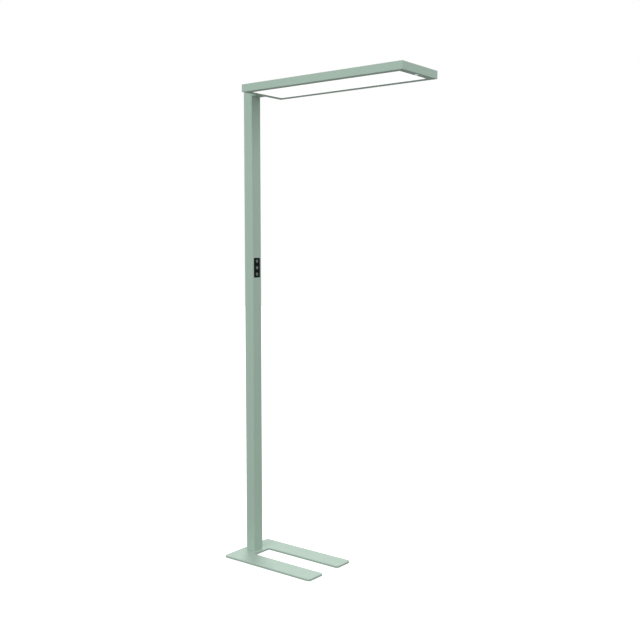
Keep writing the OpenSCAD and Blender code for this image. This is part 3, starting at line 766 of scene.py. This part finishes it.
class FLOORLAMP_OT_finishes(bpy.types.Operator):
    """Builds the shared surface effects and all finishes"""

    bl_idname = "floorlamp.finishes"
    bl_label = "Finishes"

    def execute(self, context):
        finishes = context.scene.floorlamp.finishes
        group_coat_grain()
        group_rubbed_edges()
        group_dust_and_sheen()
        group_drawn_metal()
        paint_finish(finishes)
        panel_finishes(finishes)
        rubber_finishes()
        metal_finishes()
        white_finishes()
        lens_finish()
        diffuser_finish(finishes)
        window_finish()
        board_finishes()
        return {"FINISHED"}


# ---- Base ----


def pad_places():
    """Each pad's X, Y and radius: one near each corner and a larger one under the post."""
    inset_by = 0.026
    corners = [
        (x, y, 0.014)
        for x in (PLATE_LOW.x + inset_by, PLATE_HIGH.x - inset_by)
        for y in (PLATE_LOW.y + inset_by, PLATE_HIGH.y - inset_by)
    ]
    return corners + [(0.0, 0.0, 0.028)]


def model_plate(sizes, edges):
    """A bar, its two legs drawn out of it, round corners, softened rims and recesses for the pads."""
    low, high = PLATE_LOW, PLATE_HIGH
    slot_x = low.x + sizes.bar_depth
    half_slot = high.y - sizes.leg_width
    play, recess, below = 0.0003, 0.0015, 0.001
    plate = add_block("plate", low, (slot_x, high.y, high.z))
    edit(plate)
    for side in (-1, 1):
        cut_edges((0, side * half_slot, 0), (0, 1, 0))
    pick_faces(plate, lambda middle, normal: normal.x > 0.9 and abs(middle.y) > half_slot)
    extrude((high.x - slot_x, 0, 0))
    tidy_flats()
    round_edges(plate, sizes.slot_corner, 6, lambda a, b: along(Z, a, b) and near(a.x, slot_x))
    round_edges(plate, sizes.plate_corner, 10, lambda a, b: (
        along(Z, a, b) and (near(a.x, high.x) or near(a.x, low.x))
    ))
    round_edges(plate, edges.plate, 3, lambda a, b: (
        near(a.z, b.z) and (near(a.z, high.z) or near(a.z, low.z))
    ))
    leave_edit()
    carve(plate, [
        add_disc("cutter", radius + play, (x, y, low.z - below), (x, y, low.z + recess), 64)
        for x, y, radius in pad_places()
    ])
    return plate


def model_pad(name, x, y, radius):
    """A round pad with a softened rim and a groove round its underside."""
    height, border, wall, floor, depth = 0.002, 0.0030, 0.0004, 0.0012, 0.0004
    pad = add_disc(name, radius, (x, y, 0.0), (x, y, height), 64)
    edit(pad)
    round_rim(pad, Z, 0.0, SOFT, 2)
    for width, sink in ((border, 0.0), (wall, -depth), (floor, 0.0), (wall, depth)):
        pick(pad, "faces", lambda face: face.normal.z < -SQUARE and len(face.verts) > 4)
        inset(width, sink)
    leave_edit()
    return pad


class FLOORLAMP_OT_base(bpy.types.Operator):
    """Models the base plate and the pads under it"""

    bl_idname = "floorlamp.base"
    bl_label = "Base plate and pads"

    def execute(self, context):
        settings = context.scene.floorlamp
        hand_over(model_plate(settings.sizes, settings.edges), "base_plate")
        pads = join("pads", [model_pad(f"pad_{i}", *spot) for i, spot in enumerate(pad_places())])
        hand_over(pads, "base_pads", "Black rubber")
        return {"FINISHED"}


# ---- Post ----


def model_cap(sizes, edges):
    """The lid on the post, with the post's own rounded edges and a softened rim."""
    low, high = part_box("post_cap")
    cap = add_block("cap", (low.x, low.y, POST_HIGH.z), high)
    edit(cap)
    round_along(cap, Z, sizes.post_corner, 8)
    round_rim(cap, Z, high.z, edges.cap, 3)
    round_rim(cap, Z, POST_HIGH.z, 0.00015, 1)
    leave_edit()
    return cap


def model_bush():
    """The bush in the post's back: a rounded flange, a barrel through the wall and a bore for the cord."""
    low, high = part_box("cord_bush")
    z = (low.z + high.z) / 2
    flange, barrel, bore, reach, rim, mouth = 0.009, 0.0059, 0.004, 0.0075, 0.0009, 0.0005
    bush = add_disc("bush", flange, (low.x, 0, z), (POST_LOW.x, 0, z))
    edit(bush)
    round_rim(bush, X, low.x, rim, 3)
    pick_end(bush, X, 1)
    inset(flange - barrel)
    extrude((reach, 0, 0))
    inset(barrel - bore)
    bpy.ops.mesh.delete(type="FACE")
    pick_end(bush, X, -1)
    inset(flange - rim - bore)
    bpy.ops.mesh.delete(type="FACE")
    pick(bush, "edges", lambda edge: edge.is_boundary)
    bpy.ops.mesh.bridge_edge_loops()
    round_edges(bush, mouth, 2, lambda a, b: (
        near(a.x, low.x) and near(b.x, low.x) and math.hypot(a.y, a.z - z) < bore + mouth / 2
    ))
    face_outwards()
    leave_edit()
    return bush


def wire_way(start, end):
    """A cutter for the way of the wires from the post into the head."""
    z = HEAD_LOW.z + 0.009
    return add_disc("cutter", 0.0045, (start - PAST, 0, z), (end + PAST, 0, z))


def model_neck(edges):
    """The block between the post and the head, with round long edges and the way through for the wires."""
    low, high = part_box("neck")
    neck = add_block("neck_block", low, high)
    edit(neck)
    round_along(neck, X, edges.neck, 4)
    round_edges(neck, edges.joint, 1, lambda a, b: near(a.x, b.x))
    leave_edit()
    carve(neck, [wire_way(low.x, high.x)])
    return neck


class FLOORLAMP_OT_post_fittings(bpy.types.Operator):
    """Models the post's cap, the cord's bush and the neck"""

    bl_idname = "floorlamp.post_fittings"
    bl_label = "Cap, bush and neck"

    def execute(self, context):
        settings = context.scene.floorlamp
        hand_over(model_cap(settings.sizes, settings.edges), "post_cap")
        hand_over(model_bush(), "cord_bush", "Black rubber")
        hand_over(model_neck(settings.edges), "neck")
        return {"FINISHED"}


# ---- Head ----


def model_rail(name, run, sizes, edges):
    """A rail of the head along +X from the origin, its outer face at Y 0 and its underside at Z 0.

    Its section is a wall with a wide flange, a rib, a ledge and a top ledge, all drawn inwards from the wall.
    Both ends are cut at 45 degrees.
    """
    wall, height, ledge = sizes.rail_wall, HEAD_HIGH.z - HEAD_LOW.z, 0.009
    parts = (
        (0.0, FLANGE, sizes.strip_width),
        (0.0065, 0.008, wall + 0.003),
        (0.013, 0.015, ledge),
        (height - 0.004, height - 0.0015, ledge),
    )
    rail = add_block(name, (0, 0, 0), (run, wall, height))
    edit(rail)
    for level in [level for part in parts for level in part[:2] if level > 0]:
        cut_edges((0, 0, level), (0, 0, 1))
    for bottom, top, reach in parts:
        pick_faces(rail, lambda middle, normal: normal.y > 0.9 and bottom < middle.z < top)
        extrude((0, reach - wall, 0))
    tidy_flats()
    round_edges(rail, edges.rail, 4, lambda a, b: (
        along(X, a, b) and near(a.y, 0) and (near(a.z, 0) or near(a.z, height))
    ))
    round_edges(rail, 0.0002, 2, lambda a, b: (
        along(X, a, b) and near(a.y, sizes.strip_width) and near(a.z, 0)
    ))
    cut_off((0, 0, 0), (1, -1, 0))
    cut_off((run, 0, 0), (-1, -1, 0))
    round_edges(rail, edges.joint / 2, 1, lambda a, b: any(
        all(near(abs(end - point.x), point.y) for point in (a, b)) for end in (0, run)
    ))
    face_outwards()
    leave_edit()
    return rail


class FLOORLAMP_OT_head_frame(bpy.types.Operator):
    """Models the four mitred rails of the head"""

    bl_idname = "floorlamp.head_frame"
    bl_label = "Head frame"

    def execute(self, context):
        sizes, edges = context.scene.floorlamp.sizes, context.scene.floorlamp.edges
        low, high = HEAD_LOW, HEAD_HIGH
        right = model_rail("rail_right", high.x - low.x, sizes, edges)
        left = copy_of(right, "rail_left")
        post_end = model_rail("rail_post_end", high.y - low.y, sizes, edges)
        free_end = copy_of(post_end, "rail_free_end")
        place(right, low)
        place(left, (high.x, high.y, low.z), math.pi)
        place(post_end, (low.x, high.y, low.z), -math.pi / 2)
        place(free_end, (high.x, low.y, low.z), math.pi / 2)
        inner = low.x + sizes.rail_wall
        depth, reach, seat_low, seat_high = 0.010, 0.0365, low.z + 0.0025, low.z + 0.0258
        seat = add_block("cutter", (inner, -reach, seat_low), (inner + depth, reach, seat_high))
        carve(post_end, [seat, wire_way(low.x, low.x)])
        hole = sizes.lens_radius + 0.0002
        under, above = (LENS_MIDDLE, 0, low.z - PAST), (LENS_MIDDLE, 0, low.z + FLANGE + 0.001)
        carve(free_end, [add_disc("cutter", hole, under, above, 64)])
        hand_over(right, "side_rail_right")
        hand_over(left, "side_rail_left")
        hand_over(post_end, "end_rail_post")
        hand_over(free_end, "end_rail_free")
        return {"FINISHED"}


def model_diffuser():
    """A stepped opal sheet: its rim lies on the rails' flanges and its face fills the opening."""
    low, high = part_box("diffuser")
    diffuser = add_block("diffuser_sheet", (low.x, low.y, low.z + SHEET_STEP), high)
    edit(diffuser)
    pick_end(diffuser, Z, -1)
    inset(0.0043)
    extrude((0, 0, -SHEET_STEP))
    round_rim(diffuser, Z, low.z, SOFT, 2)
    leave_edit()
    return diffuser


def model_window():
    """A satin sheet with a rim below, which fills the opening in the head's cover."""
    low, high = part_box("uplight_window")
    rim, corner, step = 0.00525, 0.00575, high.z - SHEET_STEP
    window = add_block("window_sheet", (low.x + rim, low.y + rim, step), (high.x - rim, high.y - rim, high.z))
    edit(window)
    round_along(window, Z, corner, 8)
    round_rim(window, Z, high.z, SOFT, 2)
    pick_end(window, Z, -1)
    extrude((0, 0, low.z - step))
    pick_faces(window, lambda middle, normal: abs(normal.z) < 0.1 and middle.z < step)
    bpy.ops.mesh.extrude_region_shrink_fatten(
        TRANSFORM_OT_shrink_fatten={"value": rim, "use_even_offset": True}
    )
    leave_edit()
    return window


def dome_drop(radius, at):
    """How far a dome of this base radius and half that height hangs down, at a distance from its axis."""
    height = radius / 2
    sphere = (radius * radius + height * height) / (2 * height)
    return math.sqrt(sphere * sphere - at * at) - (sphere - height)


def model_lens(sizes):
    """The sensor's lens: a collar in the head, a barrel through the border and a dome with fine rings."""
    radius = sizes.lens_radius
    collar, groove_depth, groove_width = 0.009, 0.00006, 0.0001
    under, top = (LENS_MIDDLE, 0, HEAD_LOW.z + FLANGE), (LENS_MIDDLE, 0, LENS_HIGH.z)
    lens = add_disc("lens_dome", collar, under, top, 64)
    edit(lens)
    pick_end(lens, Z, -1)
    inset(collar - radius)
    extrude((0, 0, -FLANGE))
    at = radius
    for ring in (0.0064, 0.0057, 0.0050, 0.0043, 0.0036, 0.0029, 0.0022, 0.0015, 0.0008):
        rise = dome_drop(radius, ring) - dome_drop(radius, at)
        inset(at - ring - groove_width, rise + groove_depth)
        inset(groove_width, -groove_depth)
        at = ring
    leave_edit()
    return lens


class FLOORLAMP_OT_head_sheets(bpy.types.Operator):
    """Models the diffuser, the window over the upward light and the sensor's lens"""

    bl_idname = "floorlamp.head_sheets"
    bl_label = "Diffuser, window and sensor"

    def execute(self, context):
        diffuser = model_diffuser()
        diffuser.visible_diffuse = False
        hand_over(diffuser, "diffuser", "Opal diffuser")
        hand_over(model_window(), "uplight_window", "Satin window")
        lens = model_lens(context.scene.floorlamp.sizes)
        hand_over(lens, "sensor_lens", "Sensor lens plastic")
        return {"FINISHED"}


# ---- Control panel ----


def on_rim(spot, x, radius):
    """True for a spot on the rim of a button's opening."""
    return near(spot.x, x) and any(
        near(math.hypot(spot.y, spot.z - z), radius, 5e-5) for z in BUTTON_HEIGHTS
    )


def model_bezel(sizes, edges):
    """The panel's frame: a front plate with round corners, a body in the post's window and three openings."""
    low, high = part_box("panel_bezel")
    face, front = POST_HIGH.x, high.x
    corner, overlap, body_depth, lip = 0.003, 0.0024, 0.004, 0.0011
    behind, before = face - 0.006, front + 0.001
    opening, pocket = sizes.button_radius + 0.0003, sizes.button_radius + 0.0019
    bezel = add_block("bezel", (face, low.y, low.z), high)
    edit(bezel)
    round_along(bezel, X, corner, 8)
    round_rim(bezel, X, front, edges.bezel, 4)
    pick_end(bezel, X, -1)
    inset(overlap)
    extrude((-body_depth, 0, 0))
    leave_edit()
    carve(bezel, [
        add_disc("cutter", radius, (behind, 0, z), (end, 0, z), 64)
        for z in BUTTON_HEIGHTS
        for radius, end in ((opening, before), (pocket, face - lip))
    ])
    edit(bezel)
    round_edges(bezel, 0.00025, 2, lambda a, b: on_rim(a, front, opening) and on_rim(b, front, opening))
    leave_edit()
    return bezel


def model_button(sizes, z):
    """A button: a pip, a flange, a cap with a softened rim and a dished face that follows a sphere."""
    radius, rim, dish, sphere = sizes.button_radius, 0.0004, 0.0005, 0.040
    pip_radius, pip_height, flange, flange_height = 0.002, 0.0005, 0.0015, 0.0012
    back = BUTTON_BACK + pip_height
    button = add_disc("button", radius + flange, (back, 0, z), (back + flange_height, 0, z), 64)
    edit(button)
    pick_end(button, X, 1)
    inset(flange)
    extrude((BUTTON_FRONT - back - flange_height, 0, 0))
    round_rim(button, X, BUTTON_FRONT, rim, 3)
    pick_end(button, X, 1)
    at, drop = radius - rim, 0.0
    for ring in (0.0063, 0.0054, 0.0045, 0.0036, 0.0027, 0.0018, 0.0009):
        deeper = max(0.0, dish - ring * ring / (2 * sphere))
        inset(at - ring, drop - deeper)
        at, drop = ring, deeper
    pick_end(button, X, -1)
    inset(radius + flange - pip_radius)
    extrude((-pip_height, 0, 0))
    leave_edit()
    button.data.materials.append(bpy.data.materials["Grey button plastic"])
    return button


def model_arrow_mark(z, way):
    """A raised arrowhead on a button's face, which points up for 1 and down for -1."""
    reach, half_width, tip, slope = 0.0032, 0.0003, 0.0010, 38
    arrow = add_block("arrow", (-MARK_DEPTH, -0.001, -half_width), (0.0, reach, half_width))
    edit(arrow)
    round_edges(arrow, 0.00028, 3, lambda a, b: along(X, a, b) and near(a.y, reach))
    leave_edit()
    arrow.rotation_euler = (-way * math.radians(slope), 0, 0)
    arrow.location = (BUTTON_FRONT - MARK_SINK, 0, z + way * tip)
    apply_place(arrow)
    across = (False, True, False)
    modify(arrow, "MIRROR", use_axis=across, use_bisect_axis=across, merge_threshold=1e-5)
    return arrow


def model_ring_mark(z):
    """A raised ring on a button's face."""
    radius, width, front = 0.0027, 0.0006, BUTTON_FRONT - MARK_SINK
    ring = add_disc("ring", radius, (front - MARK_DEPTH, 0, z), (front, 0, z))
    edit(ring)
    pick_faces(ring, lambda middle, normal: abs(normal.x) > 0.9)
    bpy.ops.mesh.inset(thickness=width, use_individual=True)
    bpy.ops.mesh.bridge_edge_loops()
    face_outwards()
    leave_edit()
    return ring


class FLOORLAMP_OT_panel(bpy.types.Operator):
    """Models the control panel's frame and its three push buttons with their marks"""

    bl_idname = "floorlamp.panel"
    bl_label = "Control panel"

    def execute(self, context):
        settings = context.scene.floorlamp
        bezel = model_bezel(settings.sizes, settings.edges)
        hand_over(bezel, "panel_bezel", "Black panel plastic")
        top, middle, bottom = BUTTON_HEIGHTS
        marks = (model_arrow_mark(top, 1), model_ring_mark(middle), model_arrow_mark(bottom, -1))
        first = model_button(settings.sizes, middle)
        for node, z, mark in zip(BUTTONS, BUTTON_HEIGHTS, marks):
            cap = place(copy_of(first, node.replace("button", "cap")), (0, 0, z - middle))
            mark.data.materials.append(bpy.data.materials["Pale button mark"])
            cap = join(node.replace("button", "push_button"), [cap, mark])
            bodies = frame["record"]["behaviour"]["bodies"]
            body = next(body for body, nodes in bodies.items() if node in nodes)
            hand_over(cap, node, "Grey button plastic", body)
        bpy.data.objects.remove(first)
        return {"FINISHED"}


# ---- Carried-over parts ----

NODE_FINISHES = {
    "Sage powder coat": ("post", "top_cover"),
    "Screw steel": (
        "post_screws", "cover_screws", "foot_screws", "panel_screws", "neck_screws", "carrier_screws",
    ),
    "Zinc sheet": ("gear_sled", "backing_plate", "neck_brace", "corner_cleats"),
    "Bare aluminium": ("foot_block", "carrier_plate"),
    "Black inner plastic": ("panel_tray",),
    "Cable sheath": ("post_loom", "panel_lead", "sensor_lead"),
    "Wire sleeve": ("mains_wires",),
    "White moulding": ("terminal_block", "driver", "head_terminal"),
    "White reflector": ("reflector",),
    "Lower light board": ("led_boards_down",),
    "Upper light board": ("led_boards_up",),
    "Green circuit board": ("panel_board", "sensor_board"),
}


class FLOORLAMP_OT_carried_over(bpy.types.Operator):
    """Gives the parts that are kept from the frame their finishes"""

    bl_idname = "floorlamp.carried_over"
    bl_label = "Parts kept from the frame"

    def execute(self, context):
        bare = {name for name, node in frame["nodes"].items() if not node.hide_render}
        for finish, nodes in NODE_FINISHES.items():
            bare -= set(nodes)
            for node in nodes:
                for slot in frame["nodes"][node].material_slots:
                    slot.material = bpy.data.materials[finish]
        if bare:
            raise RuntimeError(f"no finish for {', '.join(sorted(bare))}")
        return {"FINISHED"}


# ---- Stage ----


def set_world(stage):
    """Even light from all round. The camera, gloss and glass see a white background instead."""
    world = bpy.data.worlds.new("Studio")
    bpy.context.scene.world = world
    tree = emptied(world)
    path = tree.add("ShaderNodeLightPath").outputs
    seen = tree.maths("MAXIMUM", path["Is Camera Ray"], path["Is Glossy Ray"], path["Is Transmission Ray"])
    white = tree.add("ShaderNodeBackground", {"Color": WHITE, "Strength": 1.0})
    light = tree.add("ShaderNodeBackground", {"Color": WHITE, "Strength": stage.dome})
    both = tree.add("ShaderNodeMixShader", {0: seen, 1: light, 2: white})
    tree.add("ShaderNodeOutputWorld", {"Surface": both})


def set_floor(stage):
    """A pale floor that looks white to the camera and still takes the lamp's shadow close to the plate.

    It is clear from below, so that the lamp's underside can be seen, and it sheds light into the gap under
    the plate. It lies a hair below the pads, so that the two don't share a face.
    """
    width, below_pads, gap, gap_glow = 24, 0.0002, 0.0014, 0.3
    bpy.ops.object.select_all(action="DESELECT")
    bpy.ops.mesh.primitive_plane_add(size=width, location=(0, 0, -below_pads))
    floor = bpy.context.active_object
    floor.name = "floor"
    material = bpy.data.materials.new("Studio floor")
    material.cycles.emission_sampling = "NONE"
    tree = emptied(material)
    spot = tree.add("ShaderNodeTexCoord").outputs["Object"]
    blotches = tree.ramp(tree.noise(spot, 3.0, 3.0), 0.3, 0.7, 0.0, 0.05)
    tone = tree.mix(blotches, tuple(stage.floor), (0.76, 0.76, 0.76))
    path = tree.add("ShaderNodeLightPath").outputs
    seen = tree.maths("MAXIMUM", path["Is Camera Ray"], path["Is Transmission Ray"])
    dull = tree.mix(tree.maths("MAXIMUM", seen, path["Is Glossy Ray"]), (0.22, 0.22, 0.22), tone)
    away = tree.add("ShaderNodeVectorMath", {0: spot}, operation="LENGTH").outputs["Value"]
    level = tree.ramp(away, 1.5, 5.0, 0.60, 1.0)
    in_gap = tree.times(path["Is Diffuse Ray"], tree.maths("LESS_THAN", path["Ray Length"], gap))
    strength = tree.plus(tree.times(seen, level), tree.times(in_gap, gap_glow))
    surface = tree.add("ShaderNodeBsdfDiffuse", {"Color": dull})
    lift = tree.add("ShaderNodeEmission", {"Color": WHITE, "Strength": strength})
    both = tree.add("ShaderNodeAddShader", {0: surface, 1: lift})
    clear = tree.add("ShaderNodeBsdfTransparent")
    below = tree.add("ShaderNodeNewGeometry").outputs["Backfacing"]
    faces = tree.add("ShaderNodeMixShader", {0: below, 1: both, 2: clear})
    tree.add("ShaderNodeOutputMaterial", {"Surface": faces})
    floor.data.materials.append(material)


def add_lamp(name, spot, target, width, height, watts, spread=180.0):
    """A soft rectangular lamp that looks at a point and isn't seen itself."""
    data = bpy.data.lights.new(name, "AREA")
    data.shape = "RECTANGLE"
    data.size, data.size_y = width, height
    data.energy = watts
    data.spread = math.radians(spread)
    lamp = bpy.data.objects.new(name, data)
    lamp.location = spot
    lamp.rotation_euler = (Vector(spot) - Vector(target)).to_track_quat("Z", "Y").to_euler()
    lamp.visible_camera = False
    lamp.visible_glossy = False
    lamp.visible_transmission = False
    bpy.context.scene.collection.objects.link(lamp)
    return lamp


def set_camera(stage):
    """The camera, at the photo's viewing angle."""
    data = bpy.data.cameras.new("Camera")
    data.lens = stage.lens
    data.sensor_width = 36.0
    data.clip_end = 100.0
    camera = bpy.data.objects.new("Camera", data)
    camera.location = stage.camera_place
    camera.rotation_euler = (math.pi / 2 - stage.pitch, 0.0, stage.heading)
    bpy.context.scene.collection.objects.link(camera)
    bpy.context.scene.camera = camera


class FLOORLAMP_OT_stage(bpy.types.Operator):
    """Sets the camera, the lamps, the white surroundings and the floor"""

    bl_idname = "floorlamp.stage"
    bl_label = "Stage"

    def execute(self, context):
        stage = context.scene.floorlamp.stage
        context.scene.view_settings.view_transform = "Standard"
        set_camera(stage)
        set_world(stage)
        set_floor(stage)
        post_middle = (0.2, 0.0, 1.1)
        add_lamp("Front", (0.5, -4.1, 2.4), post_middle, 3.0, 3.0, stage.front)
        add_lamp("High side", (3.6, 1.0, 3.6), post_middle, 3.0, 3.0, stage.high)
        add_lamp("Low side", (4.2, 0.8, 1.6), post_middle, 3.0, 3.0, stage.low)
        add_lamp("Back", (-1.6, 1.9, 3.6), (0.1, 0.0, 0.3), 1.2, 1.2, stage.back)
        under = (HEAD_MIDDLE, 0, HEAD_LOW.z - 0.006)
        add_lamp("Head", under, (HEAD_MIDDLE, 0, 0), 0.66, 0.17, stage.down, spread=80.0)
        return {"FINISHED"}


# ---- Panel, registration and order of work ----


class FLOORLAMP_PT_panel(bpy.types.Panel):
    """Lists the steps and the settings"""

    bl_idname = "FLOORLAMP_PT_panel"
    bl_label = "Floor lamp"
    bl_space_type = "VIEW_3D"
    bl_region_type = "UI"
    bl_category = "Floor lamp"

    def draw(self, context):
        settings = context.scene.floorlamp
        for part in STEPS:
            self.layout.operator(part.bl_idname)
        for title in settings.__annotations__:
            group = getattr(settings, title)
            box = self.layout.box()
            box.label(text=title.title())
            for key in group.__annotations__:
                box.prop(group, key)


STEPS = (
    FLOORLAMP_OT_finishes,
    FLOORLAMP_OT_base,
    FLOORLAMP_OT_post_fittings,
    FLOORLAMP_OT_head_frame,
    FLOORLAMP_OT_head_sheets,
    FLOORLAMP_OT_panel,
    FLOORLAMP_OT_carried_over,
    FLOORLAMP_OT_stage,
)
CLASSES = (
    FLOORLAMP_PG_sizes,
    FLOORLAMP_PG_edges,
    FLOORLAMP_PG_finishes,
    FLOORLAMP_PG_stage,
    FLOORLAMP_PG_settings,
    *STEPS,
    FLOORLAMP_PT_panel,
)


def register():
    for part in CLASSES:
        bpy.utils.register_class(part)
    bpy.types.Scene.floorlamp = PointerProperty(type=FLOORLAMP_PG_settings)


def unregister():
    del bpy.types.Scene.floorlamp
    for part in reversed(CLASSES):
        bpy.utils.unregister_class(part)


def main():
    """Builds everything in order."""
    register()
    bpy.ops.floorlamp.finishes()
    bpy.ops.floorlamp.base()
    bpy.ops.floorlamp.post_fittings()
    bpy.ops.floorlamp.head_frame()
    bpy.ops.floorlamp.head_sheets()
    bpy.ops.floorlamp.panel()
    bpy.ops.floorlamp.carried_over()
    bpy.ops.floorlamp.stage()


if __name__ == "__main__":
    main()
